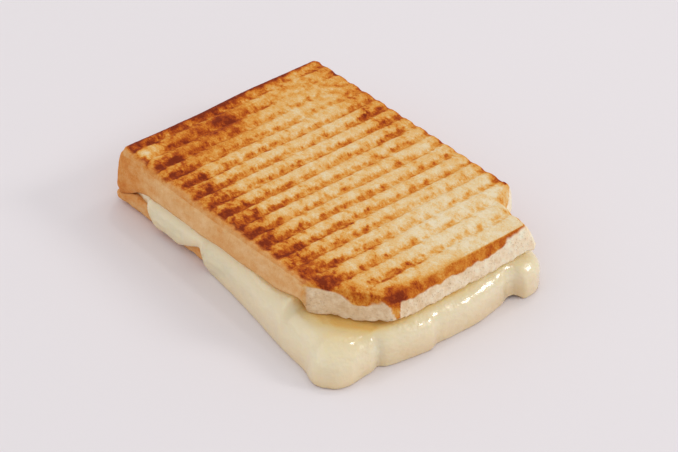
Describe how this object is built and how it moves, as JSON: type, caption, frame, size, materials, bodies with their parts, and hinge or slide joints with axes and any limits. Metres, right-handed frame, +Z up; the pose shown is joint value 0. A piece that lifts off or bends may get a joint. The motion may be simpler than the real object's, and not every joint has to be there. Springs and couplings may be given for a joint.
{
  "type": "double cheese toastie",
  "caption": "Toasted cheese sandwich pressed in a ribbed grill: grooved bread with a wedge of melted cheese that runs out along one side and the cut end.",
  "frame": {"origin": "centre of the bounding box, on the surface that the toastie lies on", "axes": "+X across the grill grooves, from the crust end to the cut end; +Y along the grooves, towards the side where no cheese runs out; +Z up, out of the grooved face of the top slice"},
  "size_m": [0.1446, 0.1122, 0.0274],
  "materials": {
    "lower_bread": "toasted sandwich bread, dry and matt, with browned grill grooves and an orange-tan crust side",
    "cheese": "melted pale yellow cheese, smooth and glossy",
    "top_bread": "toasted sandwich bread, dry and matt, pale pads between brown grill grooves, tan crust side, off-white crumb where it is cut"
  },
  "bodies": {
    "root": {"bottom_slice": "lower_bread", "melted_cheese": "cheese", "top_slice": "top_bread"}
  },
  "joints": []
}
